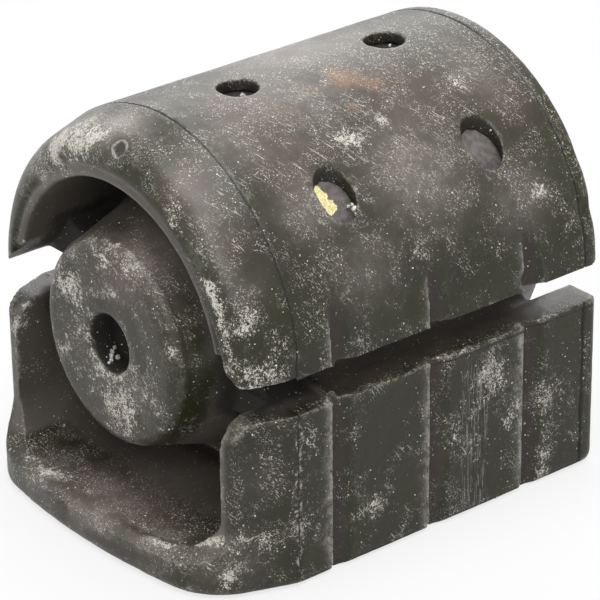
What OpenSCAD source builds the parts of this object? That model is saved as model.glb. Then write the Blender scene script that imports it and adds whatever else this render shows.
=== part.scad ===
// Control arm bushing: a rubber moulding of D section, 73 mm long, that clamps a
// control arm's stem in the middle of the car's bracket.
// X runs across the bushing, Y along its axis and Z up. The closed end that the
// stem stops against faces -Y. The origin is the middle of the flat base's box.

/* [Overall form] */
// Width across the flat sides, which is also the diameter of the crown
body_w = 60; // [56:0.5:66]
// Length from the front lip of the trough to the rear face
body_len = 72.8; // [69:0.2:80]
// Height of the crown's centre line, where its two feet end
crown_axis_z = 32.7; // [30:0.1:36]
// Distance of the front seam, where the nose begins, behind the front lip
front_seam_in = 16; // [14.5:0.1:18]
// Distance of the rear seam ahead of the rear face
rear_seam_in = 2.6; // [1.8:0.1:3.4]
// Rounding of the crown's and the sides' rear edges
rear_edge_r = 1.2; // [0.6:0.1:1.5]
// Rounding of the two long edges of the base
base_edge_r = 1.2; // [0.8:0.1:2.4]
// Rounding of the rear edge of the base
heel_r = 3; // [1:0.1:4]

/* [Nose of the crown] */
// Distance of the nose's rounding from the crown's surface, to the arc's centre
nose_in = 5.8; // [5.2:0.1:6.4]
// Radius of the nose's rounding
nose_r = 4.4; // [3.8:0.1:4.8]
// Distance from the front seam forward to the centre of the nose's arc
nose_fwd = 4.6; // [4:0.1:6]
// Angle by which the nose's face leans back towards the mouth
nose_lean = 35; // [20:1:45]

/* [Gate mark] */
// Angle of the round mark on the nose from the crown's top
gate_angle = 2; // [0:1:20]
// Angle by which the mark's own axis leans forward
gate_lean = 47; // [40:1:60]
// Outer diameter of the mark's ring
gate_d = 3.2; // [2.4:0.1:4]
// Width of the ring's groove
gate_w = 0.5; // [0.3:0.05:0.8]
// Depth of this groove
gate_depth = 0.35; // [0.2:0.05:0.6]

/* [Mouth and voids] */
// Radius of the round part of the voids
void_r = 23; // [22:0.1:23.6]
// Distance of the voids' centre below the crown's centre line
void_drop = 1.7; // [1:0.1:2.5]
// Half of the trough's width between the side walls
trough_half_w = 24; // [23:0.1:25]
// Thickness of the trough's floor
floor_t = 5.7; // [4.8:0.1:6.4]
// Radius of the trough's lower corners
trough_r = 7; // [4:0.5:9]
// Depth of the voids beside the hub, from the nose's tip and from the rear face
side_void_d = 8.4; // [7:0.1:10]
// Depth of the voids above and below the hub, from the same faces
deep_void_d = 18.5; // [16:0.5:21]
// Angle that each side web takes up around the hub, between the deep voids
side_web_angle = 46; // [36:1:60]
// Width of the ledge around the mouth, outside the voids
mouth_ledge_w = 2; // [1.6:0.1:2.4]
// Distance of this ledge behind the nose's tip
mouth_ledge_d = 1.1; // [0.8:0.1:1.4]
// Radius of the bead that lines the mouth
mouth_bead_r = 0.9; // [0.7:0.05:1]
// Chamfer on the inner corners of the crown's feet at the mouth
foot_chamfer = 4; // [2:0.1:4.5]

/* [Side slits] */
// Height of the slit between the crown's feet and the side walls
slit_h = 5.6; // [4.6:0.1:6.4]
// Depth of the slit from the flat side
slit_d = 8; // [6.5:0.1:9]
// Distance behind the front seam at which two mould cores met in the slit
core_line_in = 6.3; // [5:0.1:8]
// Thickness of the rib that they left there
core_rib_t = 1.3; // [0.8:0.1:2]
// Height of this rib above the slit's surface
core_rib_h = 1; // [0.5:0.1:1.4]

/* [Hub] */
// Radius of the hub's front face
hub_front_r = 15.8; // [14:0.1:17]
// Radius of the hub's rear face
hub_rear_r = 17.9; // [16:0.1:19]
// Half angle of the cones by which the hub widens towards its web
hub_flare = 15.6; // [8:0.2:16]
// Distance by which the hub's front face stands ahead of the nose's tip
hub_proud = 1.1; // [0.2:0.1:2]
// Rounding of the hub's front edge
hub_edge_r = 2.6; // [0.8:0.1:3.5]
// Diameter of the blind hole in the hub's front face
vent_d = 8.6; // [5:0.1:10]
// Depth of this hole
vent_depth = 4.5; // [2:0.1:6]
// Rounding of its mouth
vent_edge_r = 0.6; // [0.2:0.1:1]
// Diameter of the socket for the control arm's stem
socket_d = 22; // [18:0.1:24]
// Thickness of the closed end, between the socket and the hub's front face
socket_end_t = 12; // [9:0.1:18]
// Chamfer at the socket's mouth
socket_chamfer = 1; // [0.4:0.1:2]

/* [Trough front] */
// Radius of the bowed front edge of the floor, seen from above
lip_bow_r = 115; // [90:1:140]
// Radius of the two front corners, seen from above
lip_corner_r = 11; // [9:0.1:11.2]
// Distance of the corners' centres from the flat sides
lip_corner_in = 13; // [12.6:0.1:14]
// Rounding of the lip's upper edge
lip_top_r = 2.2; // [1:0.1:2.4]
// Distance of the side walls' front ends behind the lip
wall_end_in = 6.7; // [5.5:0.1:8]
// Rounding of the walls' front ends, seen from above
wall_corner_r = 4.2; // [3:0.1:4.8]
// Distance of this rounding's centre from the flat sides
wall_corner_in = 5.7; // [5.2:0.1:6.2]
// Radius of the flare between the side walls and the lip
wall_flare_r = 6.6; // [4:0.1:7.5]
// Rounding at the top of the side walls' front ends
wall_top_r = 4.2; // [2:0.1:5]

/* [Flanks] */
// Number of relief notches on each flank
notch_n = 3; // [1:1:3]
// Distance of the first notch behind the front seam
notch_first = 6.3; // [5:0.1:9]
// Distance from one notch to the next
notch_pitch = 18; // [12:0.5:18]
// Width of a notch, from its step to where it runs out
notch_w = 3.9; // [2:0.1:5]
// Depth of a notch at its step
notch_d = 1.5; // [0.6:0.1:1.8]
// Width of the seam lines
seam_w = 0.35; // [0.2:0.05:0.6]
// Depth of the seam lines
seam_d = 0.3; // [0.15:0.05:0.5]

/* [Locating holes] */
// Diameter of the six holes left by the pins that held the shell in the mould
pin_d = 5.9; // [4:0.1:7]
// Distance between the front and the rear holes
pin_pitch = 27.2; // [22:0.1:32]
// Angle of the side holes from the crown's top
pin_angle = 45; // [38:1:48]
// Distance of the holes' middle behind the middle of the two seams
pin_mid_in = 0.6; // [0:0.1:3]

/* [Steel shell] */
// Depth of the shell below the crown's surface, which is the holes' depth
shell_cover = 2; // [1.5:0.1:2.4]
// Thickness of the shell's steel
shell_t = 1.8; // [1.2:0.1:2]
// Distance of the shell's ends inside the two seams
shell_end_in = 3; // [2:0.5:8]
// Angle between the shell's long edges and the feet of the crown
shell_edge_angle = 12; // [11:1:20]

/* [Hidden] */
$fn = 96;
eps = 0.01;
// A cutter is larger than what it cuts by this much
spare = 2;
// The flare of the walls starts this far inside them
flare_sink = 0.05;

crown_r = body_w / 2;
front_y = -body_len / 2;
rear_y = body_len / 2;
front_seam_y = front_y + front_seam_in;
rear_seam_y = rear_y - rear_seam_in;
wall_top_z = crown_axis_z - slit_h;
axis_z = crown_axis_z - slit_h / 2;
void_axis_z = crown_axis_z - void_drop;
nose_c = [crown_r - nose_in, front_seam_y - nose_fwd];
nose_tip_y = nose_c[1] - nose_r;
hub_front_y = nose_tip_y - hub_proud;
side_web_front_y = nose_tip_y + side_void_d;
side_web_rear_y = rear_y - side_void_d;
deep_front_y = nose_tip_y + deep_void_d;
deep_rear_y = rear_y - deep_void_d;
slit_in_x = crown_r - slit_d;
core_line_y = front_seam_y + core_line_in;
wall_end_y = front_y + wall_end_in;
seam_corner = [crown_r, front_seam_y];
wall_c = [crown_r - wall_corner_in, wall_end_y + wall_corner_r];
shell_r = crown_r - shell_cover;
pin_mid_y = (front_seam_y + rear_seam_y) / 2 + pin_mid_in;

// Points on an arc about c, from angle a to angle b, both ends included
function arc(c, r, a, b, n) = [for (i = [0:n]) let(t = a + (b - a) * i / n) c + r * [cos(t), sin(t)]];

// Angle at which a line from point p touches the circle about c, on its outer side
function touch(c, r, p) = atan2(p[1] - c[1], p[0] - c[0]) - acos(r / norm(p - c));

// A shape drawn in X and Z, drawn out along Y from y0 to y1
module along_y(y0, y1) {
    translate([0, y1, 0]) rotate([90, 0, 0]) linear_extrude(y1 - y0) children();
}

// A shape drawn in Y and Z, drawn out along X, equally to both sides
module along_x(w) {
    translate([-w / 2, 0, 0]) rotate([90, 0, 90]) linear_extrude(w) children();
}

// A shape drawn as radius and -Y, turned half a turn over the axis at height z
module over_axis(z, a = 180) {
    translate([0, 0, z]) rotate([90, 0, 0]) rotate_extrude(angle = a) children();
}

module both_sides() {
    children();
    mirror([1, 0, 0]) children();
}

// The crown's half section: rear edge, straight back, tapered nose, leaning face
module crown_section() {
    outline = concat(
        [[0, rear_y]],
        arc([crown_r - rear_edge_r, rear_y - rear_edge_r], rear_edge_r, 90, 0, 4),
        [seam_corner],
        arc(nose_c, nose_r, touch(nose_c, nose_r, seam_corner), -90 - nose_lean, 12),
        [[0, nose_c[1] - nose_r * cos(nose_lean)]]
    );
    polygon([for (p = outline) [p[0], -p[1]]]);
}

module crown() {
    over_axis(crown_axis_z) crown_section();
}

// Outline of the base seen from above, ahead of the front seam and inside by inset
function lip_outline(inset) =
    let(bow_c = [0, front_y + lip_bow_r],
        turn = asin((crown_r - lip_corner_in) / (lip_bow_r - lip_corner_r)),
        corner_c = bow_c + (lip_bow_r - lip_corner_r) * [sin(turn), -cos(turn)],
        side = touch(corner_c, lip_corner_r, seam_corner),
        right = concat(
            [seam_corner - [inset, 0]],
            arc(corner_c, lip_corner_r - inset, side, turn - 90, 9),
            arc(bow_c, lip_bow_r - inset, turn * 0.75 - 90, turn * 0.25 - 90, 2)
        ))
    concat(
        right,
        [bow_c - [0, lip_bow_r - inset]],
        [for (i = [len(right) - 1:-1:0]) [-right[i][0], right[i][1]]]
    );

// A slab of that outline from height z0 to z1, its edges rounded by r0 and r1
module nose_slab(z0, z1, r0, r1) {
    hull()
        for (t = [0:30:90]) {
            translate([0, 0, z0 + r0 * (1 - sin(t))])
                linear_extrude(eps) polygon(lip_outline(r0 * (1 - cos(t))));
            translate([0, 0, z1 - eps - r1 * (1 - sin(t))])
                linear_extrude(eps) polygon(lip_outline(r1 * (1 - cos(t))));
        }
}

// Outline of the straight part of the base block seen from the front
module block_section() {
    r = base_edge_r;
    polygon(concat(
        [[-crown_r, crown_axis_z]],
        arc([-crown_r + r, r], r, 180, 270, 6),
        arc([crown_r - r, r], r, 270, 360, 6),
        [[crown_r, crown_axis_z]]
    ));
}

// Outline of the straight part seen from the side, with its rounded heel
module block_side() {
    polygon(concat(
        [[front_seam_y, 0]],
        arc([rear_y - heel_r, heel_r], heel_r, 270, 360, 6),
        [[rear_y, crown_axis_z], [front_seam_y, crown_axis_z]]
    ));
}

// Outline of the straight part seen from above
module block_plan() {
    c = [crown_r - rear_edge_r, rear_y - rear_edge_r];
    polygon(concat(
        [[-crown_r, front_seam_y], [crown_r, front_seam_y]],
        arc(c, rear_edge_r, 0, 90, 4),
        arc([-c[0], c[1]], rear_edge_r, 90, 180, 4)
    ));
}

// Outline of the side walls' front part seen from above, with round ends
module wall_plan() {
    side = touch(wall_c, wall_corner_r, seam_corner);
    right = [
        seam_corner,
        wall_c + wall_corner_r * [cos(side), sin(side)],
        wall_c - [0, wall_corner_r]
    ];
    both_sides() translate(wall_c) circle(wall_corner_r);
    polygon(concat(right, [for (i = [len(right) - 1:-1:0]) [-right[i][0], right[i][1]]]));
}

// Outline of the same part seen from the side, rounded at its top
module wall_side() {
    top_c = [wall_end_y + wall_top_r, wall_top_z - wall_top_r];
    polygon(concat(
        [[front_seam_y, 0], [front_seam_y, wall_top_z]],
        arc(top_c, wall_top_r, 90, 180, 8),
        [[wall_end_y, 0]]
    ));
}

// Section of the flare at a wall's foot, from the centre of the wall's rounding
module flare_section() {
    c = [wall_corner_r + wall_flare_r - flare_sink, floor_t - lip_top_r / 2 + wall_flare_r];
    polygon(concat(
        [[0, 0], [c[0], 0]],
        arc(c, wall_flare_r, 270, 180, 8),
        [[0, c[1]]]
    ));
}

// That section drawn along Y from 0 to len
module flare_stretch(len) {
    translate([0, len, 0]) rotate([90, 0, 0]) linear_extrude(len) flare_section();
}

// The flare runs across the front, round each wall's end and back to the seam
module wall_flare() {
    side = touch(wall_c, wall_corner_r, seam_corner);
    side_len = sqrt(pow(norm(seam_corner - wall_c), 2) - pow(wall_corner_r, 2));
    translate([-wall_c[0], wall_c[1], 0])
        rotate([0, 0, -90]) flare_stretch(2 * wall_c[0]);
    both_sides()
        translate([wall_c[0], wall_c[1], 0]) {
            rotate([0, 0, -90]) rotate_extrude(angle = side + 90) flare_section();
            rotate([0, 0, side]) flare_stretch(side_len);
        }
}

// The base block: a straight part, two side walls that flare out in front and the lip
module base_block() {
    intersection() {
        linear_extrude(crown_axis_z) block_plan();
        along_y(front_seam_y, rear_y) block_section();
        along_x(body_w) block_side();
    }
    intersection() {
        nose_slab(0, wall_top_z, base_edge_r, eps);
        union() {
            intersection() {
                linear_extrude(wall_top_z) wall_plan();
                along_x(body_w) wall_side();
            }
            wall_flare();
        }
    }
    nose_slab(0, floor_t, base_edge_r, lip_top_r);
}

// Outline of the open space at each end, seen from the front, without the hub
module void_section() {
    translate([0, void_axis_z]) circle(void_r);
    translate([-trough_half_w, floor_t + trough_r])
        square([2 * trough_half_w, void_axis_z - floor_t - trough_r]);
    polygon(concat(
        arc([-trough_half_w + trough_r, floor_t + trough_r], trough_r, 180, 270, 8),
        arc([trough_half_w - trough_r, floor_t + trough_r], trough_r, 270, 360, 8)
    ));
}

// The deep voids, which the side webs part from each other
module deep_void_section() {
    rise = body_w * tan(side_web_angle / 2);
    difference() {
        void_section();
        translate([0, axis_z])
            polygon([[0, 0], [body_w, -rise], [body_w, rise]]);
        translate([0, axis_z])
            polygon([[0, 0], [-body_w, rise], [-body_w, -rise]]);
    }
}

module voids() {
    along_y(front_y - spare, side_web_front_y) void_section();
    along_y(side_web_front_y - eps, deep_front_y) deep_void_section();
    along_y(side_web_rear_y, rear_y + spare) void_section();
    along_y(deep_rear_y, side_web_rear_y + eps) deep_void_section();
}

// Section of a slit with a round bottom, made smaller all round by inset
module slit_section(inset = 0) {
    r = slit_h / 2 - inset;
    translate([slit_in_x + slit_h / 2, axis_z]) circle(r);
    translate([slit_in_x + slit_h / 2, axis_z - r]) square([slit_d + spare, 2 * r]);
}

module slits() {
    both_sides() {
        along_y(front_y - spare, core_line_y) slit_section();
        along_y(core_line_y - eps, core_line_y + core_rib_t + eps) slit_section(core_rib_h);
        along_y(core_line_y + core_rib_t, rear_y + spare) slit_section();
    }
}

// The inner corners of the feet are cut off at the mouth
module foot_corners() {
    corner = [void_r, crown_axis_z];
    both_sides()
        along_y(front_y, side_web_front_y)
            polygon([
                corner + [-spare, foot_chamfer + spare],
                corner + [foot_chamfer + spare, -spare],
                corner - [spare, spare]
            ]);
}

// The ledge round the mouth, out of which the bead stands
module mouth_ledge() {
    along_y(front_y, nose_tip_y + mouth_ledge_d)
        translate([0, void_axis_z]) circle(void_r + mouth_ledge_w);
}

module mouth_bead() {
    intersection() {
        translate([0, nose_tip_y + mouth_ledge_d, 0])
            over_axis(void_axis_z, 180)
                translate([void_r + mouth_bead_r, 0]) circle(mouth_bead_r, $fn = 32);
        translate([-crown_r, front_y, crown_axis_z + foot_chamfer])
            cube([body_w, nose_r * 3 + front_seam_in, body_w]);
    }
}

// The hub: two cones back to back, with a rounded front edge
module hub_section() {
    slope = tan(hub_flare);
    front = -hub_front_y;
    rear = -rear_y;
    // Where the two cones meet
    mid = (front + rear) / 2 + (hub_front_r - hub_rear_r) / (2 * slope);
    polygon(concat(
        [[0, rear], [hub_rear_r, rear]],
        [[hub_front_r + (front - mid) * slope, mid]],
        arc([hub_front_r - hub_edge_r, front - hub_edge_r], hub_edge_r, 0, 90, 6),
        [[0, front]]
    ));
}

module hub() {
    over_axis(axis_z, 360) hub_section();
}

// Socket for the stem, open to the rear, and the small blind hole in front
module hub_holes() {
    along_y(hub_front_y + socket_end_t, rear_y + spare)
        translate([0, axis_z]) circle(d = socket_d);
    translate([0, rear_y + eps, axis_z]) rotate([90, 0, 0])
        cylinder(d1 = socket_d + 2 * socket_chamfer, d2 = socket_d, h = socket_chamfer + eps);
    along_y(hub_front_y - spare, hub_front_y + vent_depth)
        translate([0, axis_z]) circle(d = vent_d);
    translate([0, hub_front_y - eps, axis_z]) rotate([-90, 0, 0])
        cylinder(d1 = vent_d + 2 * vent_edge_r, d2 = vent_d, h = vent_edge_r + eps);
}

// The half tube of steel: its solid and, with the same sizes, its room in the rubber
module shell_form() {
    over_axis(crown_axis_z)
        translate([shell_r - shell_t, -(rear_seam_y - shell_end_in)])
            square([shell_t, rear_seam_y - front_seam_y - 2 * shell_end_in]);
}

// What keeps the shell's long edges above the feet
module shell_edge_limit() {
    both_sides()
        along_y(front_seam_y, rear_seam_y)
            polygon([
                [0, crown_axis_z - eps],
                [body_w, crown_axis_z - eps],
                [body_w, crown_axis_z + body_w * tan(shell_edge_angle)],
                [0, crown_axis_z]
            ]);
}

module steel_shell() {
    color("#b9a24e")
        difference() {
            shell_form();
            shell_edge_limit();
        }
}

// Six holes down to the shell, drawn upwards out of the mould
module pin_holes() {
    difference() {
        for (a = [-pin_angle, 0, pin_angle], side = [-1, 1])
            translate([crown_r * sin(a), pin_mid_y + side * pin_pitch / 2, crown_axis_z])
                cylinder(d = pin_d, h = crown_r + spare);
        along_y(front_seam_y, rear_seam_y) translate([0, crown_axis_z]) circle(shell_r);
    }
}

// Relief notches of saw-tooth section: a step in front, running out to the rear
module notches() {
    both_sides()
        for (i = [0:notch_n - 1])
            translate([crown_r, front_seam_y + notch_first + i * notch_pitch, -spare])
                linear_extrude(body_w)
                    polygon([[-notch_d, 0], [spare, 0], [spare, notch_w * (1 + spare / notch_d)]]);
}

// The outline that both seams follow, inside the surface by inset
module seam_outline(inset) {
    r = crown_r - inset;
    translate([0, crown_axis_z]) circle(r);
    polygon(concat(
        [[-r, crown_axis_z]],
        arc([-crown_r + base_edge_r, base_edge_r], base_edge_r - inset, 180, 270, 6),
        arc([crown_r - base_edge_r, base_edge_r], base_edge_r - inset, 270, 360, 6),
        [[r, crown_axis_z]]
    ));
}

module seam_lines() {
    for (y = [front_seam_y, rear_seam_y - seam_w])
        along_y(y, y + seam_w)
            difference() {
                translate([-body_w, -body_w]) square(3 * body_w);
                seam_outline(seam_d);
            }
}

// The ring that the mould's gate left on the nose's rounding
module gate_mark() {
    place = nose_c + nose_r * [cos(gate_lean), -sin(gate_lean)];
    translate([0, 0, crown_axis_z])
        rotate([0, gate_angle, 0])
            translate([0, place[1], place[0]])
                rotate([gate_lean, 0, 0])
                    translate([0, 0, -gate_depth])
                        difference() {
                            cylinder(d = gate_d, h = gate_depth + spare);
                            cylinder(d = gate_d - 2 * gate_w, h = gate_depth + spare);
                        }
}

module rubber_body() {
    color("#45423f")
        difference() {
            union() {
                difference() {
                    union() {
                        crown();
                        base_block();
                    }
                    voids();
                    foot_corners();
                    mouth_ledge();
                }
                mouth_bead();
                hub();
            }
            slits();
            hub_holes();
            pin_holes();
            notches();
            seam_lines();
            gate_mark();
            difference() {
                shell_form();
                shell_edge_limit();
            }
        }
}

rubber_body();
steel_shell();
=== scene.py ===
import math

import bmesh
import bpy
import numpy as np
from mathutils import Matrix, Vector


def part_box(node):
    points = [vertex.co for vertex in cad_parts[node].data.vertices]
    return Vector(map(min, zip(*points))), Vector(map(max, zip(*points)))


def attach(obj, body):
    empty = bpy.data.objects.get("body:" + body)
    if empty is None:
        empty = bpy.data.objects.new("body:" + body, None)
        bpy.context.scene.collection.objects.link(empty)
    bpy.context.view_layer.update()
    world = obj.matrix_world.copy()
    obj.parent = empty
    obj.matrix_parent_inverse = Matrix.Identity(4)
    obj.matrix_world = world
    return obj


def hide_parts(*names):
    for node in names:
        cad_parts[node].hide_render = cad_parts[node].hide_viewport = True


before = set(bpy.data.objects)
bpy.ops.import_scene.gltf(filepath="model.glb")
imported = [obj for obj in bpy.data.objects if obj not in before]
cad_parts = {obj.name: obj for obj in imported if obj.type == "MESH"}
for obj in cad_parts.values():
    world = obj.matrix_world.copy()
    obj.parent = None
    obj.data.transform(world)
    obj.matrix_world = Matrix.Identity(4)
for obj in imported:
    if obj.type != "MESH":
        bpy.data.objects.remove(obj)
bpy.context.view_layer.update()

# The bushing's body is one block of black rubber, moulded round its steel half shell.
# A worn mould left its corners soft, and the clamp has dented and rubbed its skin since.
mm = 0.001
body_low, body_high = [np.array(corner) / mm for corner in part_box("rubber_body")]
crown_r = body_high[0]
crown_z = body_high[2] - crown_r
wall_top = crown_z - 5.6
hub_z = crown_z - 2.8
front_seam = body_low[1] + 16
rear_seam = body_high[1] - 2.6
seam_w = 0.35
seam_depth = 0.3
panel_sink = 0.18
skin_voxel = 0.3
skin_triangles = 190000
notch_steps = [front_seam + 6.3 + 18 * i for i in range(3)]


class Wire:
    """A socket of a node tree, or the tree itself. Arithmetic on it adds Math nodes."""

    def __init__(self, tree, socket=None):
        self.tree = tree
        self.socket = socket

    def make(self, kind, settings=None, plugs=None, out=0):
        """Add a node: its settings come first, then its sockets' values and links."""
        node = self.tree.nodes.new(kind)
        for name, value in (settings or {}).items():
            setattr(node, name, value)
        for key, value in (plugs or {}).items():
            if isinstance(value, Wire):
                self.tree.links.new(value.socket, node.inputs[key])
            else:
                node.inputs[key].default_value = value
        return Wire(self.tree, node.outputs[out]) if node.outputs else node

    def other(self, out):
        """Another output of the node that this wire comes from."""
        return Wire(self.tree, self.socket.node.outputs[out])

    def maths(self, operation, first, second=0.0):
        return self.make("ShaderNodeMath", {"operation": operation}, {0: first, 1: second})

    def __add__(self, other):
        return self.maths("ADD", self, other)

    def __sub__(self, other):
        return self.maths("SUBTRACT", self, other)

    def __rsub__(self, other):
        return self.maths("SUBTRACT", other, self)

    def __mul__(self, other):
        return self.maths("MULTIPLY", self, other)

    def __truediv__(self, other):
        return self.maths("DIVIDE", self, other)

    def __rtruediv__(self, other):
        return self.maths("DIVIDE", other, self)

    __radd__ = __add__
    __rmul__ = __mul__

    def capped(self):
        return self.maths("MINIMUM", self, 1.0)

    def step(self, low, high):
        """0 below low and 1 above high, with a soft step between them."""
        return self.make("ShaderNodeMapRange", {"interpolation_type": "SMOOTHSTEP"},
                         {0: self, 1: low, 2: high})

    def vector(self, operation, plugs, out=0):
        return self.make("ShaderNodeVectorMath", {"operation": operation}, {0: self, **plugs}, out)

    def noise(self, grain, detail=3.0, rough=0.5, shift=0.0):
        """Cloudy noise at a place in millimetres, its clouds grain millimetres apart."""
        return self.make("ShaderNodeTexNoise", {},
                         {"Vector": self.vector("ADD", {1: (shift,) * 3}), "Scale": 1 / grain,
                          "Detail": detail, "Roughness": rough})

    def blend(self, low, high):
        """Colour low where this mask is 0, and colour high where it is 1."""
        return self.make("ShaderNodeMix", {"data_type": "RGBA"}, {0: self, 6: low, 7: high}, 2)


def node_tree_inputs(tree, sizes):
    """Give a geometry tree its geometry and one named input for each size."""
    face = tree.interface
    face.new_socket("Geometry", in_out="INPUT", socket_type="NodeSocketGeometry")
    for name in sizes:
        face.new_socket(name, in_out="INPUT", socket_type="NodeSocketFloat")
    face.new_socket("Geometry", in_out="OUTPUT", socket_type="NodeSocketGeometry")
    given = tree.nodes.new("NodeGroupInput")
    return {socket.name: Wire(tree, socket) for socket in given.outputs if socket.name}


def add_tree(piece, tree, sizes):
    """Put a geometry tree on a piece, its sizes set through the sockets' identifiers."""
    modifier = piece.modifiers.new(tree.name, "NODES")
    modifier.node_group = tree
    for item in tree.interface.items_tree:
        if item.name in sizes and item.in_out == "INPUT":
            modifier[item.identifier] = sizes[item.name]


def merged_copy(node, name):
    """A closed copy of a CAD node, its loose triangles joined."""
    shell = bmesh.new()
    shell.from_mesh(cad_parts[node].data)
    bmesh.ops.remove_doubles(shell, verts=shell.verts, dist=0.002 * mm)
    return linked_piece(shell, name)


def linked_piece(shell, name):
    mesh = bpy.data.meshes.new(name)
    shell.to_mesh(mesh)
    shell.free()
    piece = bpy.data.objects.new(name, mesh)
    bpy.context.scene.collection.objects.link(piece)
    return piece


def points_of(mesh):
    """The mesh's corners, one row each, in millimetres."""
    flat = np.zeros(len(mesh.vertices) * 3, np.float32)
    mesh.vertices.foreach_get("co", flat)
    return flat.reshape(-1, 3).astype(float) / mm


def normals_of(mesh):
    flat = np.zeros(len(mesh.vertices) * 3, np.float32)
    mesh.vertices.foreach_get("normal", flat)
    return flat.reshape(-1, 3).astype(float)


def move_points(mesh, points):
    """Set the corners' places, kept inside the moulding's box."""
    points = np.clip(points, body_low, body_high)
    mesh.vertices.foreach_set("co", (points * mm).astype(np.float32).ravel())
    mesh.update()


def settle(piece):
    """Turn the piece's live modifiers into plain mesh."""
    graph = bpy.context.evaluated_depsgraph_get()
    plain = bpy.data.meshes.new_from_object(piece.evaluated_get(graph))
    piece.modifiers.clear()
    piece.data = plain


def flush_seams(mesh):
    """Fill the two seam grooves, which are cut again once the skin is fine enough."""
    points = points_of(mesh)
    x, y, z = points.T
    reach = np.hypot(x, z - crown_z)
    for seam in (front_seam, rear_seam - seam_w):
        near = (y > seam - 0.01) & (y < seam + seam_w + 0.01)
        near &= (crown_r - reach < seam_depth + 0.1) & (reach < crown_r - 0.01) | (z < crown_z)
        crown = near & (z >= crown_z)
        points[crown, 0] = x[crown] * crown_r / reach[crown]
        points[crown, 2] = crown_z + (z[crown] - crown_z) * crown_r / reach[crown]
        side = near & (z < crown_z) & (z > 1.2) & (crown_r - np.abs(x) < seam_depth + 0.1)
        points[side, 0] = np.sign(x[side]) * crown_r
    move_points(mesh, points)


def worn_skin_tree(sizes):
    """Nodes that dent the skin inwards: long swells, small lumps, and nicks on its edges."""
    tree = bpy.data.node_groups.new("worn skin", "GeometryNodeTree")
    plug = node_tree_inputs(tree, sizes)
    pen = Wire(tree)
    spot = pen.make("GeometryNodeInputPosition").vector("SCALE", {3: 1 / mm})
    normal = pen.make("GeometryNodeInputNormal")
    smoothed = pen.make("GeometryNodeBlurAttribute", {"data_type": "FLOAT_VECTOR"},
                        {"Value": spot, "Iterations": 6})
    rise = spot.vector("SUBTRACT", {1: smoothed})
    convex = rise.vector("DOT_PRODUCT", {1: normal}, "Value").step(0.04, 0.25)

    def cloud(size, detail, shift):
        near = spot.vector("ADD", {1: (shift,) * 3}).vector("SCALE", {3: 1 / plug[size]})
        return pen.make("ShaderNodeTexNoise", {}, {"Vector": near, "Scale": 1.0, "Detail": detail})

    swell = cloud("Swell size", 1.0, 3.0) * plug["Swell depth"]
    lump = cloud("Lump size", 2.0, 17.0).step(0.35, 0.75) * plug["Lump depth"]
    nick = cloud("Nick size", 2.0, 41.0).step(0.56, 0.78) * convex * plug["Nick depth"]
    push = normal.vector("SCALE", {3: (swell + lump + nick) * -mm})
    moved = pen.make("GeometryNodeSetPosition", {}, {"Geometry": plug["Geometry"], "Offset": push})
    result = tree.nodes.new("NodeGroupOutput")
    tree.links.new(moved.socket, result.inputs[0])
    return tree


def distance_to(points, row):
    """How far each point is from a place, or from the line between two places."""
    start = np.array(row[:3], float)
    along = np.array(row[3:6], float) - start if len(row) > 6 else np.zeros(3)
    length = max((along ** 2).sum(), 1e-9)
    share = np.clip((points - start) @ along / length, 0, 1)
    return np.linalg.norm(points - start - share[:, None] * along, axis=1)


def raise_marks(mesh, marks):
    """Raise or sink the skin round a few places and lines, by the last value of each row."""
    points, normals = points_of(mesh), normals_of(mesh)
    for *row, reach, height in marks.values():
        swell = np.exp(-(distance_to(points, row + [reach]) / reach) ** 2)
        points += normals * (swell * height)[:, None]
    move_points(mesh, points)


def cut_seam(mesh, seam):
    """Cut a fine groove right round the outside, at the Y of a seam."""
    shell = bmesh.new()
    shell.from_mesh(mesh)
    middle = seam + seam_w / 2
    for y in (seam, middle, seam + seam_w):
        band = [f for f in shell.faces
                if min(v.co.y for v in f.verts) < y * mm < max(v.co.y for v in f.verts)]
        edges = list({e for f in band for e in f.edges})
        verts = list({v for f in band for v in f.verts})
        bmesh.ops.bisect_plane(shell, geom=verts + edges + band, dist=1e-7,
                               plane_co=(0, y * mm, 0), plane_no=(0, 1, 0))
    for vert in shell.verts:
        if abs(vert.co.y / mm - middle) > 0.02:
            continue
        x, z = vert.co.x / mm, vert.co.z / mm
        reach = math.hypot(x, z - crown_z)
        if z >= crown_z and reach > crown_r - 1.4:
            pull = (-x / reach, (crown_z - z) / reach)
        elif crown_z > z > 1.5 and abs(x) > crown_r - 1.4:
            pull = (-math.copysign(1, x), 0)
        elif z < 1.2:
            pull = (0, 1)
        else:
            continue
        vert.co.x += pull[0] * seam_depth * mm
        vert.co.z += pull[1] * seam_depth * mm
    bmesh.ops.triangulate(shell, faces=[f for f in shell.faces if len(f.verts) > 3])
    shell.to_mesh(mesh)
    shell.free()


moulding = merged_copy("rubber_body", "rubber_moulding")
flush_seams(moulding.data)
remesh = moulding.modifiers.new("even skin", "REMESH")
remesh.mode = "VOXEL"
remesh.voxel_size = skin_voxel * mm
soften = moulding.modifiers.new("worn mould", "SMOOTH")
soften.factor = 0.5
soften.iterations = 2
settle(moulding)

wear_sizes = {"Swell depth": 0.12, "Swell size": 12.0, "Lump depth": 0.04, "Lump size": 2.2,
              "Nick depth": 0.22, "Nick size": 1.3}
add_tree(moulding, worn_skin_tree(wear_sizes), wear_sizes)
thin_out = moulding.modifiers.new("fewer faces", "DECIMATE")
thin_out.ratio = min(1.0, skin_triangles / (len(moulding.data.vertices) * 2))
settle(moulding)

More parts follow.
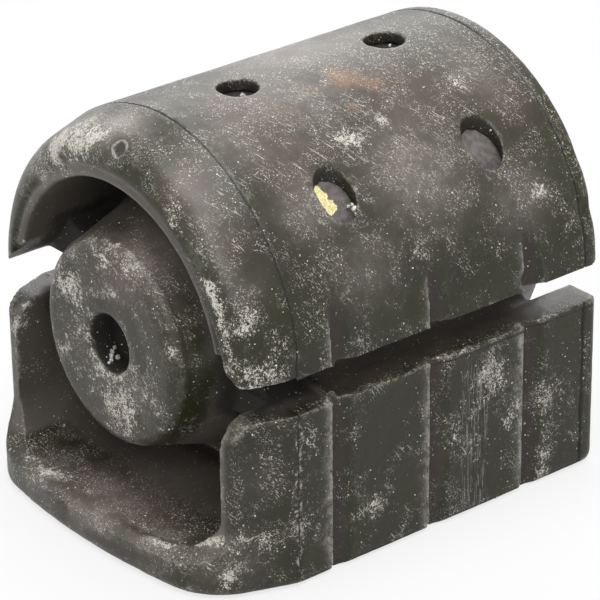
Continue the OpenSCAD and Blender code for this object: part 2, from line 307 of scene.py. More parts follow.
skin_marks = {
    "roll of rubber on the lip": (14, -34.2, 5.4, 24, -30.4, 8.4, 0.9, 0.55),
    "its end": (13, -35, 5, 14, -34, 5.4, 0.8, 0.4),
    "crack behind the roll": (8.5, -33.4, 5.6, 16, -32.4, 5.9, 0.55, -0.7),
    "tear beside the crack": (5, -32.6, 5.6, 9, -33.4, 5.6, 0.4, -0.4),
    "chip in the rear rim": (28.6, 34.6, 41, 1.4, -0.9),
    "dent above the rear rim": (25.8, 35, 49, 1.6, -0.35),
    "dish of the gate": (1.0, -28.5, 59.6, 1.2, -0.6),
    "crease from the gate": (2.7, -28.2, 60, 3.4, -29.4, 57.6, 0.5, -0.5),
    "crease along the mouth": (4, -29.3, 58.2, 11, -29.0, 56.6, 0.6, -0.16),
    "crease along the mouth, right": (11, -29.0, 56.6, 19, -28.9, 51.6, 0.6, -0.16),
    "dent in the left rim": (-18, -29, 48.5, 1.5, -0.3),
    "dent under hole C": (25.6, -2, 48.2, 1.6, -0.3),
    "dent right of hole C": (26.4, 5, 47, 27.8, 6.5, 43, 1.2, -0.3),
    "clamp mark on the foot": (29.4, -1, 36.5, 29, 1.5, 40.5, 0.7, -0.28),
    "clamp mark on the foot, rear": (28.9, 8.5, 40.5, 29.6, 8, 36, 0.8, -0.25),
    "nick at the foot": (30, -20.2, 34, 1.3, -0.5),
    "nick at the rear foot": (29.9, 22, 34.4, 1.2, -0.5),
    "drag mark": (30, 11.6, 24, 30, 12.2, 3, 0.5, -0.22),
    "second drag mark": (30, 13.4, 24, 30, 13.9, 4, 0.4, -0.16),
    "flash on the front seam": (30, -20.6, 26, 30, -20.6, 4, 0.5, -0.25),
    "bruise on the front wall": (29, -25.5, 20, 3.0, -0.3),
    "bruise on the floor": (-2, -31, 6, 3.5, -0.25),
    "dent on the hub": (-8, -30.9, 38, 2.0, -0.3),
    "low rib on the hub": (5.5, -30.8, 23, 8, -30.5, 20, 1.2, -0.35),
}
raise_marks(moulding.data, skin_marks)
cut_seam(moulding.data, front_seam)
cut_seam(moulding.data, rear_seam - seam_w)

# The flanks lie a little lower between the seams, where the mould's side plates closed.
skin = moulding.data
points = points_of(skin)
plate = (np.abs(points[:, 0]) > 27.5) & (points[:, 2] < wall_top - 0.6) & (points[:, 2] > 0.6)
plate &= (points[:, 1] > front_seam + seam_w / 2) & (points[:, 1] < rear_seam - seam_w / 2)
points[plate, 0] -= np.sign(points[plate, 0]) * panel_sink
move_points(skin, points)
skin.polygons.foreach_set("use_smooth", [True] * len(skin.polygons))

# Talc from the packing and dust from the road lie on the rubber: caked in rough places,
# rubbed into edges, and nearly gone where it has been wiped. A row is a place, or a line
# from one place to another, then its reach in millimetres and its strength.
caked_talc = [
    (-8, -29, 58, 3.6, 1.0), (-5, -28, 60, 2.4, 0.9), (-6, -29, 56, 1.0, 0.8),
    (-12, -28.5, 55.5, 3.6, 1.0), (-10, -25, 59, 2.6, 0.7), (-17, -28, 51, 2.6, 0.6), (-25, -27, 41, 2.2, 0.6),
    (0, -30.5, 30, 13, 0.66), (-8, -30.5, 36, 5, 0.78), (3, -30.5, 21, 5, 0.84),
    (3, -29.5, 43, 3, 0.75), (-10, -30.2, 26, 4, 0.65),
    (-16, -29, 50, 1.4, 0.8), (-22, -29, 37, 1.2, 0.8), (-20, -29, 44, 1.4, 0.5),
    (5, -23, 61, 1.6, 0.55), (14, -28, 56, 2.7, 0.4), (18, -29, 49, 1.2, 0.6),
    (24, -28, 47, 1.8, 0.55), (27, -27, 42, 2.2, 0.85), (29, -23, 38, 1.8, 1.0),
    (28, -26, 35, 2.4, 0.85), (25, -29, 40, 1.1, 0.7), (12, -29, 55, 18.5, -29, 50.5, 0.8, 0.8),
    (18.5, -29, 50.5, 23, -29, 45, 0.9, 0.95), (23, -29, 45, 26, -28, 36, 0.9, 0.95),
    (-1, -30.6, 43, 2.4, 0.95), (1, -29, 45.5, 1.3, 0.8), (-8, -30.5, 37, 2.4, 0.7),
    (4, -30.5, 21, 2.6, 1.0), (-6, -30.5, 20, 1.6, 0.6), (11, -30, 24, 1.8, 0.6),
    (-8, -30.5, 29, 2.3, 0.45), (-1, -30.5, 30, 11, 0.35), (14, -30, 34, 1.2, 0.6),
    (-24, -28.4, 23.2, 1.5, 1.0), (-24, -27.5, 26, 1.0, 0.9), (-24, -26, 16, 2.5, 0.6), (-12, -34, 6, 2.2, 0.85), (-18, -33, 6, 0, -32.5, 6, 1.2, 0.75),
    (-4, -34, 6, 1.7, 0.5), (-20, -24, 7, 1.8, 0.5), (14, -34, 5.4, 25, -30, 8.6, 0.9, 0.9),
    (7, -33, 6, 16, -33, 6, 1.4, 0.6), (26, -30, 3, 1.8, 0.95), (28, -25, 4, 1.4, 0.6),
    (3, -35.8, 3.5, 11, -35.4, 3.5, 1.0, 0.55), (-14, -36, 2, 1.2, 0.55),
    (28, -27, 12, 29, -22, 5, 1.4, 0.45),
    (16, 1, 58, 2.4, 1.0), (15, 7, 59, 1.6, 0.95), (16, -1, 58, 1.1, 0.7),
    (23, 5, 52, 0.9, 0.6), (19, 0, 56, 1.1, 0.6), (-2, 7, 62.5, 2.2, 0.5),
    (1, 1, 62.6, 2.8, 0.4), (4, 7, 62.4, 1.9, 0.6), (12, 23, 60, 15, 23, 59, 0.8, 0.9),
    (14, 19, 59, 18, 18, 56, 1.1, 0.55), (18, 21, 57, 0.9, 0.5), (27, 27, 46, 1.4, 0.95),
    (29, 31, 41, 29, 30, 38, 0.8, 1.0), (29, 15, 39, 2.1, 0.5), (29, -7, 39, 1.7, 0.55),
    (26, -15, 47, 29, -10, 41, 1.9, 0.45), (29, -1, 42, 28, 9, 43, 1.7, 0.45),
    (28, 13, 43, 28, 22, 44, 1.7, 0.4), (21, -12, 54, 26, -12, 47, 1.6, 0.35),
    (28, -28, 35, 30, -21, 34, 0.9, 0.9), (30, -15, 35, 30, 4, 34, 0.8, 0.6),
    (29, 6, 36, 30, 21, 34, 0.8, 0.45), (30, -21, 22, 30, -21, 9, 0.6, 0.9),
    (30, -18, 22, 2.2, 0.7), (30, -18.5, 10, 3, 0.7), (30, -17.5, 15, 2, 0.6), (30, -10, 25, 30, -10, 18, 0.6, 0.65),
    (30, -11, 17, 30, -11, 14, 0.6, 0.65), (30, -6, 8, 2.6, 0.75), (30, -11, 7, 1.7, 0.5),
    (30, 1, 16, 0.9, 0.9), (30, 1, 18, 0.7, 0.6), (30, 15, 20, 4.4, 0.8), (28, -27, 8, 4, 0.65), (30, 9, 14, 4, 0.55),
    (30, 19, 13, 3.2, 0.7), (30, 13, 11, 2.9, 0.6), (30, 11, 26, 1.7, 0.6),
    (30, 27, 14, 4.2, 0.6), (30, 26, 5, 2.1, 0.6), (30, 26, 2, 1.8, 0.8),
    (30, -4, 1.2, 30, 18, 1.2, 0.8, 0.5), (29, 27, 27, 1.4, 0.7), (28, 4, 27, 30, 13, 27, 1.1, 0.45),
    (28, -18, 27, 29, -14, 27, 0.7, 0.7), (30, 34, 22, 30, 34, 4, 0.7, 0.5),
    (-28, -5, 45, 3.0, 0.6), (-30, 12, 18, 3.4, 0.6), (-22, 20, 54, 2.4, 0.6),
    (-30, -12, 10, 2.6, 0.6), (8, 36, 57, 2.6, 0.6), (-20, 36, 40, 2.0, 0.6),
    (14, 36, 22, 2.4, 0.5), (-12, 36, 3, 3.0, 0.6),
]
rubbed_haze = [
    (8, -1, 62, 8.4, 0.6), (11, -16, 61, 5.5, 0.6), (12, 27, 60, 6.5, 0.6), (22, 8, 53, 9, 0.8),
    (22, -12, 53, 5, 0.7), (0, -30.5, 30, 14, 0.6), (18, -27, 54.5, 25, -26, 45, 2.0, 0.55),
    (27, 23, 46, 6.4, 0.6), (28, -6, 44, 6.9, 0.55), (-3, -25, 61, 4.6, 1.0),
    (18, -26, 55, 2.4, 0.5), (25, -25, 46, 3.4, 0.4), (13, -26, 58, 19, -25, 54, 2.2, 0.4),
    (28, -26, 18, 5.5, 0.4), (27, -29, 6, 5.6, 0.6), (0, -28, 6, 10, 0.65), (2, -35, 4, 7, 0.75),
    (14, -34, 5, 6, 0.7), (24, -31, 5, 5, 0.6), (-12, -34, 4, 6, 0.6), (-18, -28, 51, 5, 0.7),
    # Painted light: the row at (4, -26, 43) lightens the hub's upper cone, where the crown shades it.
    (-10, 10, 61, 12, 0.8), (-24, 0, 50, 9, 0.5), (-12, -26, 58, 7, 0.9), (4, -26, 43, 6, 0.85),
    (-26, -20, 12, 6, 0.6),
]
wiped_clean = [
    (-3.5, -31, 35, 4.4, -31, 36.6, 1.5, 1.0), (4.4, -31, 36.6, 8, -31, 30, 1.5, 1.0),
    (8, -31, 30, 7, -31, 25, 1.0, 0.7), (-5, -36, 3, 1.7, 0.9),
    (1, -36, 2, 15, -35, 3, 1.0, 0.8), (30, -6, 18, 3.7, 1.0), (30, -2, 23, 3.1, 1.0),
    (30, 0, 11, 2.6, 0.9), (30, 17, 35, 2.6, 0.9), (30, 4, 36, 2.0, 0.6),
    (30, -18, 16, 1.4, 0.5), (29, -24, 37, 1.1, 0.6), (16, -29, 52, 21, -29, 48, 0.9, 0.9),
    (5, -29, 56, 13, -29, 54, 0.9, 0.8), (-11, -29, 55, 1.3, 0.9), (30, 7, 15, 1.4, 0.7),
    (-24, -29, 40, -16, -29, 52, 0.8, 0.5), (-30, 0, 12, 5, 0.8),
]
rust_bloom = [
    (6, 8, 62, 3.0, 1.0), (9, 11, 61, 2.0, 0.9), (6, 2, 62, 2.2, 0.6), (9, -4, 61, 2.4, 0.45),
    (8, 33, 62, 1.5, 0.3), (12, 5, 60, 1.3, 0.9), (20, -16, 54, 2.0, 0.2),
]
brown_tone = [
    (6, -9, 62, 6.5, 0.9), (16, -10, 58, 6.5, 0.8), (12, 14, 60, 8, 0.7), (13, -26, 58, 4, 0.8),
    (22, -24, 52, 3, 0.6), (18, 28, 57, 6, 0.6), (0, -28, 6, 12, 0.9), (-10, 5, 60, 12, 0.6),
    # The row at (4, -26, 43) is partly the hub's own brown, partly painted light lifting its cone where the crown
    # shades it.
    (4, -26, 43, 8, 0.9), (28, 8, 27, 2, 0.8), (28, -4, 27, 2, 0.8), (28, 20, 27, 2, 0.8),
]


def lay_patches(points, rows):
    """How much of what the rows hold lies on each point."""
    amount = np.zeros(len(points))
    for row in rows:
        away = distance_to(points, row[:-1])
        amount = np.maximum(amount, row[-1] * np.exp(-(away / row[-2]) ** 2 * 0.8))
    return amount


def blurred(values, pairs, times):
    """Each corner's value, mixed with its neighbours' a number of times."""
    count = np.maximum(np.bincount(pairs.ravel(), minlength=len(values)), 1)
    for _ in range(times):
        total = np.bincount(pairs[:, 0], values[pairs[:, 1]], len(values))
        total += np.bincount(pairs[:, 1], values[pairs[:, 0]], len(values))
        values = 0.5 * values + 0.5 * total / count
    return values


def write_mask(mesh, name, values):
    mask = mesh.attributes.new(name, "FLOAT", "POINT")
    mask.data.foreach_set("value", np.clip(values, 0, 1).astype(np.float32))


points, normals = points_of(skin), normals_of(skin)
flat_pairs = np.zeros(len(skin.edges) * 2, np.int32)
skin.edges.foreach_get("vertices", flat_pairs)
pairs = flat_pairs.reshape(-1, 2)
smooth_place = np.stack([blurred(points[:, i], pairs, 12) for i in range(3)], axis=1)
rise = ((points - smooth_place) * normals).sum(1)
reach = np.hypot(points[:, 0], points[:, 2] - crown_z)
outside = np.where(points[:, 2] > crown_z, reach > crown_r - 2.4, np.abs(points[:, 0]) > crown_r - 2.4)
in_mouth = (points[:, 2] > crown_z) & (reach < 23.5)
in_mouth |= (points[:, 2] < wall_top) & (points[:, 2] > 7) & (np.abs(points[:, 0]) < 25)
in_mouth &= np.hypot(points[:, 0], points[:, 2] - hub_z) > 16.6
outside |= (points[:, 1] < front_seam - 3) & ~in_mouth
behind_step = [points[:, 1] - step for step in notch_steps]
pin_rows = [(x, y) for x in (-21.2, 0, 21.2) for y in (-6.3, 20.9)]
in_pin_hole = sum(np.hypot(points[:, 0] - x, points[:, 1] - y) < 3.2 for x, y in pin_rows)
in_pin_hole = in_pin_hole * (points[:, 2] > crown_z + 10) * (reach < crown_r - 0.35)
in_notch = sum((away > 0.1) & (away < 2.6) for away in behind_step) * (reach > 27)
masks = {
    "edge": (rise - 0.03) / 0.25,
    "hollow": (-rise - 0.03) / 0.25,
    "talc": lay_patches(points, caked_talc),
    "haze": lay_patches(points, rubbed_haze),
    "wiped": lay_patches(points, wiped_clean),
    "rust": lay_patches(points, rust_bloom),
    "brown": lay_patches(points, brown_tone),
    "notch": in_notch * (points[:, 2] < crown_z + 8),
    "step edge": sum(np.exp(-((away + 0.15) / 0.3) ** 2) for away in behind_step)
    * (reach > 29) * (points[:, 2] < crown_z + 7),
    "upward": normals[:, 2],
    # Where shade is painted: the hub's bore, the inner faces of the slits and, more faintly, the pin holes.
    "deep": (np.hypot(points[:, 0], points[:, 2] - hub_z) < 4.6) * (points[:, 1] > -30.1)
    + (points[:, 1] > -24) * (points[:, 1] < -12.6) * (np.abs(points[:, 0]) > 15.5)
    * (np.abs(points[:, 2] - hub_z) < 11) * (np.abs(points[:, 0]) < 27.2) * (reach < 26)
    + 0.7 * in_pin_hole,
    "outside": outside,
    "drag": (np.abs(points[:, 1] - 12.6) < 2.8) * (points[:, 0] > 29) * (points[:, 2] < wall_top - 2),
}
for name, values in masks.items():
    write_mask(skin, name, blurred(np.array(values, float), pairs, 2))


gate = (1.0, -28.3, 59.9)


def worn_rubber():
    material = bpy.data.materials.new("worn rubber")
    material.use_nodes = True
    tree = material.node_tree
    tree.nodes.clear()
    pen = Wire(tree)
    spot = pen.make("ShaderNodeTexCoord", out="Object").vector("SCALE", {3: 1 / mm})
    mask = {name: pen.make("ShaderNodeAttribute", {"attribute_name": name}, out="Fac")
            for name in masks}

    charcoal = (0.022, 0.020, 0.012, 1)
    olive = (0.023, 0.023, 0.009, 1)
    plum = (0.072, 0.050, 0.040, 1)
    slate = (0.265, 0.238, 0.216, 1)
    umber = (0.125, 0.110, 0.096, 1)
    rust = (0.29, 0.145, 0.07, 1)
    dust = (0.46, 0.43, 0.38, 1)
    chalk = (0.74, 0.71, 0.64, 1)
    # Near black: painted shade in the creases, and the dark marks of the gate, the rim line and the seams.
    shade_and_black_marks = (0.009, 0.009, 0.008, 1)

    broad = spot.noise(13, 3, 0.6)
    patchy = spot.noise(4.2, 4, 0.62, 11)
    middle = spot.noise(1.9, 4, 0.65, 23)
    fine = spot.noise(0.42, 3, 0.7, 5)
    grit = spot.noise(0.17, 2, 0.6, 31)

    body = broad.step(0.35, 0.65).blend(charcoal, olive)
    tone = (mask["brown"] + mask["notch"] * 0.7 + (broad - 0.5) * 0.8).step(0.1, 0.9)
    body = tone.blend(body, plum)
    body = ((mask["edge"] + mask["wiped"] * 0.6).capped() * 0.8).blend(body, olive)

    body = ((1 - mask["outside"]) * 0.7).blend(body, umber)

    wiped = (mask["wiped"] + (patchy - 0.5) * 0.7).step(0.25, 0.6)
    kept = (1 - wiped * 0.93) * (1 - mask["notch"] * 0.6) * (1 - mask["deep"])
    # The slate veil also lies on faces turned up: partly dust settled on top, partly painted light from above.
    veil = mask["haze"] * 0.85 + mask["upward"].step(-0.2, 0.7) * 0.17
    crumbly = spot.noise(0.9, 3, 0.7, 47)
    veil = veil * (patchy * 0.50 + middle * 0.45 + crumbly * 0.28 + fine * 0.22 + 0.02)
    veil = veil.step(0.05, 1.2) * kept
    body = veil.blend(body, slate)
    bloom = (mask["rust"] + (middle - 0.5) * 0.9).step(0.25, 0.95)
    body = (bloom * 0.55).blend(body, rust)

    caked = mask["talc"] * 1.0 + mask["edge"] * 0.30 + mask["outside"] * 0.05 + mask["haze"] * 0.06
    caked = caked + (patchy - 0.5) * 1.1 + (middle - 0.5) * 1.1
    crust = (crumbly * 0.26 + fine * 0.38 + grit * 0.36 + caked * 0.26 - 0.705).step(0.0, 0.05) * kept
    frost = (crumbly * 0.25 + fine * 0.40 + grit * 0.35 + caked * 0.20 - 0.60).step(0.0, 0.16) * kept

    def specks(cell, radius, share, shift):
        """Round white dots, one in each chosen cell of a loose grid."""
        dots = pen.make("ShaderNodeTexVoronoi", {},
                        {"Vector": spot.vector("ADD", {1: (shift,) * 3}), "Scale": 1 / cell})
        chance = pen.make("ShaderNodeSeparateColor", {}, {0: dots.other("Color")})
        chosen = chance.other(1).step(1 - share - 0.01, 1 - share)
        return (chance * (radius / cell) - dots).step(0.0, 0.05) * chosen

    def hairs(turn, length, width, shift, share=0.65):
        """Fine scratches that run one way."""
        turned = pen.make("ShaderNodeMapping", {"vector_type": "TEXTURE"},
                          {"Vector": spot.vector("ADD", {1: (shift,) * 3}), "Rotation": turn,
                           "Scale": (length, width, width)})
        lines = pen.make("ShaderNodeTexNoise", {}, {"Vector": turned, "Scale": 1.0, "Detail": 1.0})
        return lines.step(share, share + 0.05)

    flocked = (patchy * 0.5 + middle * 0.5 + mask["talc"] * 0.2 + mask["upward"] * 0.06).step(0.44, 0.60)
    dots = (specks(0.5, 0.12, 0.5, 3) + specks(0.9, 0.16, 0.4, 8)) * flocked
    dots = (dots + specks(2.1, 0.22, 0.25, 15)).capped() * (1 - wiped * 0.8)
    scuffs = hairs((0, 0.5, 0.6), 3.4, 0.20, 2) + hairs((0.4, 0.9, 1.5), 2.8, 0.18, 7)
    scuffs = (scuffs + hairs((0.2, 0.3, 2.4), 4.0, 0.20, 12)).capped()
    scuffed = (patchy + mask["upward"] * 0.10 + mask["haze"] * 0.06).step(0.50, 0.64)
    scuffs = scuffs * (mask["outside"] * scuffed) * kept
    drags = hairs((0, 1.5708, 0), 6.0, 0.17, 19, 0.58) * (mask["drag"] + (middle - 0.5) * 0.9).step(0.5, 1.0)

    # Painted shade: the hub's bore, the slits' inner faces and the pin holes are darkened nearly to black.
    colour = (mask["deep"] * 0.85).blend(body, (0.016, 0.015, 0.013, 1))
    # Painted shade in the notch grooves behind each step, over their plum tone.
    colour = (mask["notch"] * (0.5 + middle * 0.5) * 0.9).blend(colour, (0.015, 0.011, 0.008, 1))
    colour = (frost * 0.40).blend(colour, dust)
    colour = (crust * 0.85).blend(colour, (fine + grit).step(0.9, 1.15).blend(dust, chalk))
    colour = (scuffs * 0.85).blend(colour, dust)
    colour = (drags * 0.5).blend(colour, dust)
    colour = (mask["edge"].step(0.25, 0.9) * (fine + middle - 0.5).step(0.4, 0.65) * 0.35 * kept).blend(colour, dust)
    colour = (dots * 0.85).blend(colour, chalk)
    # A pale line along each notch step: talc on the edge, and a painted highlight of it.
    colour = (mask["step edge"] * (fine + middle).step(0.7, 1.1) * 0.7).blend(colour, dust)
    from_gate = spot.vector("DISTANCE", {1: gate}, "Value")
    ring = 1 - from_gate.maths("ABSOLUTE", from_gate - 1.35).step(0.12, 0.3)
    colour = ((1 - from_gate.step(0.8, 1.3)) * 0.5).blend(colour, shade_and_black_marks)
    colour = (ring * (middle + fine).step(0.8, 1.15) * 0.6).blend(colour, dust)
    # Painted shade: concave creases in the skin are darkened.
    colour = (mask["hollow"].step(0.2, 1.0) * 0.35 * (1 - crust)).blend(colour, shade_and_black_marks)
    across = spot.make("ShaderNodeSeparateXYZ", {}, {0: spot})
    along, upwards = across.other(1), across.other(2)
    ragged = along.maths("ABSOLUTE", along - (front_seam + 0.3) + (middle - 0.5) * 4 + (crumbly - 0.5) * 2)
    ragged = (1 - ragged.step(0.15, 0.5)) * mask["outside"] * (1 - upwards.step(wall_top - 2, wall_top - 1))
    colour = (ragged * (fine + crumbly).step(0.9, 1.1) * 0.7).blend(colour, dust)
    rim = upwards.maths("ABSOLUTE", upwards - (wall_top - 1.0)).step(0.14, 0.28)
    rim = (1 - rim) * mask["outside"] * along.step(2, 8) * (patchy + fine).step(0.6, 0.9)
    colour = (rim * 0.95).blend(colour, shade_and_black_marks)
    for middle_of_seam in (front_seam + seam_w / 2, rear_seam - seam_w / 2):
        away = along.maths("ABSOLUTE", along - middle_of_seam)
        line = (1 - away.step(0.10, 0.24)) * mask["outside"] * (patchy + fine).step(0.6, 0.9)
        colour = (line * 0.85).blend(colour, shade_and_black_marks)

    height = fine * 0.012 + grit * 0.006 + middle * 0.05 + crust * 0.03 + dots * 0.05
    height = height + patchy * 0.10 - drags * 0.05 - scuffs * 0.01 + ring * 0.15
    relief = pen.make("ShaderNodeBump", {}, {"Strength": 1.0, "Distance": mm, "Height": height})
    rough = 0.37 + (middle - 0.5) * 0.2 + crust * 0.35 + frost * 0.2 - wiped * 0.03
    rough = rough + mask["deep"] * 0.5
    shader = pen.make("ShaderNodeBsdfPrincipled", {},
                      {"Base Color": colour, "Roughness": rough, "Normal": relief,
                       "Specular IOR Level": 0.32})
    pen.make("ShaderNodeOutputMaterial", {}, {"Surface": shader})
    return material


skin.materials.clear()
skin.materials.append(worn_rubber())
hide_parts("rubber_body")
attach(moulding, "root")

# Loose crumbs of the same talc sit on the skin all over, most of them a tenth of a
# millimetre across, and a few larger lumps have gathered in the pin holes and the hub.


def chalk():
    material = bpy.data.materials.new("talc crumbs")
    material.use_nodes = True
    tree = material.node_tree
    tree.nodes.clear()
    pen = Wire(tree)
    spot = pen.make("ShaderNodeTexCoord", out="Object").vector("SCALE", {3: 1 / mm})
    shade = spot.noise(0.5, 3, 0.6).step(0.35, 0.65)
    colour = shade.blend((0.42, 0.40, 0.36, 1), (0.82, 0.80, 0.75, 1))
    shader = pen.make("ShaderNodeBsdfPrincipled", {}, {"Base Color": colour, "Roughness": 0.9})
    pen.make("ShaderNodeOutputMaterial", {}, {"Surface": shader})
    return material


def crumb_tree(sizes, material):
    """Nodes that strew small flattened crumbs on a mesh, denser where its talc mask is high."""
    tree = bpy.data.node_groups.new("strewn talc", "GeometryNodeTree")
    plug = node_tree_inputs(tree, sizes)
    pen = Wire(tree)
    talc = pen.make("GeometryNodeInputNamedAttribute", {}, {"Name": "crumbs"})
    strewn = pen.make("GeometryNodeDistributePointsOnFaces", {},
                      {"Mesh": plug["Geometry"], "Density": talc * plug["Crumbs per mm2"] * (1 / mm ** 2),
                       "Seed": 7})
    grain = pen.make("GeometryNodeMeshIcoSphere", {}, {"Radius": 1.0, "Subdivisions": 1})
    luck = pen.make("FunctionNodeRandomValue", {}, {"Seed": 11}, 1)
    size = plug["Smallest"] + luck * luck * luck * luck * (plug["Largest"] - plug["Smallest"])
    shape = pen.make("FunctionNodeRandomValue", {"data_type": "FLOAT_VECTOR"},
                     {0: (0.6, 0.6, 0.35), 1: (1.5, 1.0, 0.7), "Seed": 13})
    scale = shape.vector("SCALE", {3: size * mm})
    turn = pen.make("FunctionNodeRandomValue", {"data_type": "FLOAT_VECTOR"},
                    {0: (0, 0, 0), 1: (0.3, 0.3, 2 * math.pi), "Seed": 17})
    facing = pen.make("FunctionNodeRotateRotation", {"rotation_space": "LOCAL"},
                      {0: strewn.other("Rotation"), 1: pen.make("FunctionNodeEulerToRotation", {}, {0: turn})})
    placed = pen.make("GeometryNodeInstanceOnPoints", {},
                      {"Points": strewn, "Instance": grain, "Rotation": facing, "Scale": scale})
    real = pen.make("GeometryNodeRealizeInstances", {}, {0: placed})
    done = pen.make("GeometryNodeSetMaterial", {}, {"Geometry": real, "Material": material})
    result = tree.nodes.new("NodeGroupOutput")
    tree.links.new(done.socket, result.inputs[0])
    return tree


talc_material = chalk()
crumbs = bpy.data.objects.new("talc_crumbs", skin.copy())
bpy.context.scene.collection.objects.link(crumbs)
crumb_mask = (0.35 + 0.65 * masks["talc"]) * (1 - 0.85 * masks["wiped"]) * np.where(outside, 1.0, 0.3)
write_mask(crumbs.data, "crumbs", crumb_mask)
crumb_sizes = {"Crumbs per mm2": 0.5, "Smallest": 0.03, "Largest": 0.17}
add_tree(crumbs, crumb_tree(crumb_sizes, talc_material), crumb_sizes)
settle(crumbs)
move_points(crumbs.data, points_of(crumbs.data))

lumps = bmesh.new()
lump_rows = [
    (22.6, -4.0, 50.9, 0.45), (22.9, -3.9, 50.2, 0.4), (23.2, -4.0, 49.5, 0.5), (22.3, -4.1, 51.5, 0.3),
    (21.6, -4.2, 51.0, 0.25), (0.9, -5.6, 60.9, 0.5), (-0.5, -5.0, 60.8, 0.35), (1.6, -6.6, 60.8, 0.3),
    (0.6, 21.9, 60.9, 0.4), (-0.9, 22.8, 60.8, 0.25), (-2.9, -27.7, 26.8, 0.42), (-2.0, -27.4, 26.1, 0.45),
    (-1.9, -28.6, 26.1, 0.35), (-2.4, -28.2, 26.4, 0.38), (-3.2, -27.0, 27.1, 0.3), (-1.6, -29.2, 26.0, 0.25),
]
luck = np.random.default_rng(5)
for x, y, z, size in lump_rows:
    blob = bmesh.ops.create_icosphere(lumps, subdivisions=2, radius=size * mm)["verts"]
    for vert in blob:
        vert.co *= 1 + luck.uniform(-0.28, 0.2)
    stretch = luck.uniform(0.7, 1.2, 3)
    for vert in blob:
        vert.co = Vector(np.array(vert.co) * stretch) + Vector((x, y, z)) * mm
lump_piece = linked_piece(lumps, "talc_lumps")
lump_piece.data.materials.append(talc_material)
for piece in (crumbs, lump_piece):
    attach(piece, "root")

# The half shell is bent steel sheet with a yellow passivated skin. It shows only at the
# bottom of the pin holes, where a film of rubber covers most of it.
bare_gold = [(20.0, -8.3, 53.0, 2.3), (20.9, -7.0, 51.6, 1.3), (1.5, -9.0, 60.7, 1.2), (2.0, 18.6, 60.6, 0.7)]


def filmed_steel():
    material = bpy.data.materials.new("passivated steel")
    material.use_nodes = True
    tree = material.node_tree
    tree.nodes.clear()
    pen = Wire(tree)
    spot = pen.make("ShaderNodeTexCoord", out="Object").vector("SCALE", {3: 1 / mm})
    grain = spot.noise(0.3, 3, 0.7)
    blot = spot.noise(1.1, 3, 0.6, 9)
    bare = 0.0
    for x, y, z, size in bare_gold:
        away = spot.vector("DISTANCE", {1: (x, y, z)}, "Value")
        bare = (1 - away * (1 / size) + (blot - 0.5) * 1.2).step(0.0, 0.25) + bare
    bare = bare.capped()
    gold = grain.step(0.3, 0.7).blend((0.53, 0.45, 0.18, 1), (0.84, 0.78, 0.48, 1))
    film = blot.step(0.3, 0.7).blend((0.075, 0.064, 0.060, 1), (0.160, 0.142, 0.134, 1))
    across = spot.make("ShaderNodeSeparateXYZ", {}, {0: spot})
    film = across.maths("ABSOLUTE", across).step(8, 4).blend(film, (0.022, 0.017, 0.014, 1))
    height = grain * 0.05 - bare * 0.08 + blot * 0.1
    relief = pen.make("ShaderNodeBump", {}, {"Strength": 1.0, "Distance": mm, "Height": height})
    shader = pen.make("ShaderNodeBsdfPrincipled", {},
                      {"Base Color": bare.blend(film, gold), "Roughness": 0.5,
                       "Metallic": bare * 0.7, "Normal": relief})
    pen.make("ShaderNodeOutputMaterial", {}, {"Surface": shader})
    return material


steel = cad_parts["steel_shell"]
steel.data.materials.clear()
steel.data.materials.append(filmed_steel())

# The photographer's table: a white sheet under and behind the bushing, a broad soft
# lamp overhead and white all round.
sheet_half = 4.0
floor_mesh = bpy.data.meshes.new("floor")
floor_mesh.from_pydata([(x * sheet_half, y * sheet_half, -0.05 * mm)
                        for x, y in ((-1, -1), (1, -1), (1, 1), (-1, 1))], [], [(0, 1, 2, 3)])
floor = bpy.data.objects.new("floor", floor_mesh)
bpy.context.scene.collection.objects.link(floor)


def background_rays(pen):
    """1 for rays that show the background: the camera's, mirrored ones and those through glass."""
    path = pen.make("ShaderNodeLightPath", out="Is Camera Ray")
    return (path + path.other("Is Glossy Ray") + path.other("Is Transmission Ray")).capped()


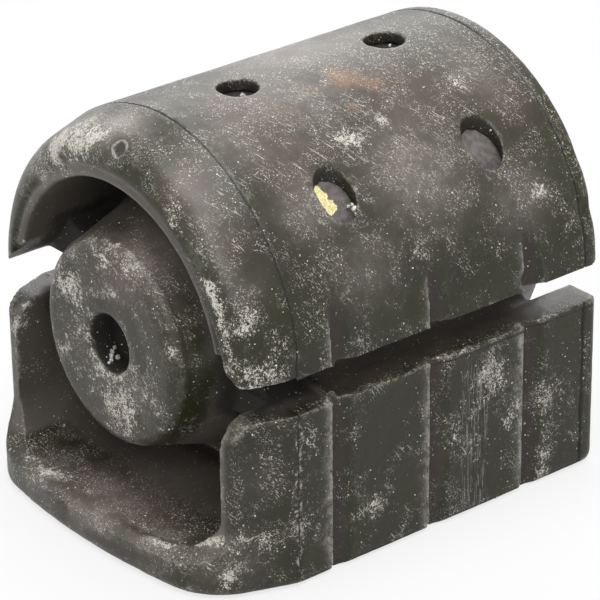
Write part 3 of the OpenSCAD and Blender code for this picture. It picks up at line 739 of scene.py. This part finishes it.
def white_sheet():
    material = bpy.data.materials.new("white sheet")
    material.use_nodes = True
    tree = material.node_tree
    tree.nodes.clear()
    pen = Wire(tree)
    matte = pen.make("ShaderNodeBsdfDiffuse", {}, {"Color": (0.70, 0.70, 0.70, 1)})
    glow = pen.make("ShaderNodeEmission", {}, {"Color": (1, 1, 1, 1), "Strength": 1.0})
    seen = pen.make("ShaderNodeMixShader", {}, {0: background_rays(pen) * 0.75, 1: matte, 2: glow})
    pen.make("ShaderNodeOutputMaterial", {}, {"Surface": seen})
    return material


floor_mesh.materials.append(white_sheet())

world = bpy.data.worlds.new("white room")
bpy.context.scene.world = world
world.use_nodes = True
world.node_tree.nodes.clear()
air = Wire(world.node_tree)
room = air.make("ShaderNodeBackground", {}, {"Color": (1, 1, 1, 1), "Strength": 0.28})
blank = air.make("ShaderNodeBackground", {}, {"Color": (1, 1, 1, 1), "Strength": 1.0})
sky = air.make("ShaderNodeMixShader", {}, {0: background_rays(air), 1: room, 2: blank})
air.make("ShaderNodeOutputWorld", {}, {"Surface": sky})


def soft_lamp(name, place, size, power):
    data = bpy.data.lights.new(name, "AREA")
    data.shape = "DISK"
    data.size = size
    data.energy = power
    lamp = bpy.data.objects.new(name, data)
    lamp.location = place
    target = Vector((0, 0, 0.03))
    lamp.rotation_euler = (target - Vector(place)).to_track_quat("-Z", "Y").to_euler()
    bpy.context.scene.collection.objects.link(lamp)


soft_lamp("overhead lamp", (0.05, 0.0, 0.8), 0.7, 6.8)
soft_lamp("back lamp", (-0.60, 0.50, 0.50), 0.7, 2.5)
soft_lamp("front lamp", (-0.1, -0.75, 0.35), 0.5, 0.7)
soft_lamp("lamp beside the camera", (0.50, -0.40, 0.50), 0.4, 1.6)

camera_place = Vector((361.6, -290.8, 256.2)) * mm
aim = Vector((3.8, 1.5, 28.05)) * mm
lens = bpy.data.cameras.new("camera")
lens.lens = 212.35
lens.sensor_width = 36
lens.clip_start = 0.01
camera = bpy.data.objects.new("camera", lens)
look = (aim - camera_place).to_track_quat("-Z", "Y").to_matrix().to_4x4()
roll = Matrix.Rotation(math.radians(-0.66), 4, "Z")
camera.matrix_world = Matrix.Translation(camera_place) @ look @ roll
bpy.context.scene.collection.objects.link(camera)
bpy.context.scene.camera = camera
bpy.context.scene.view_settings.view_transform = "Standard"
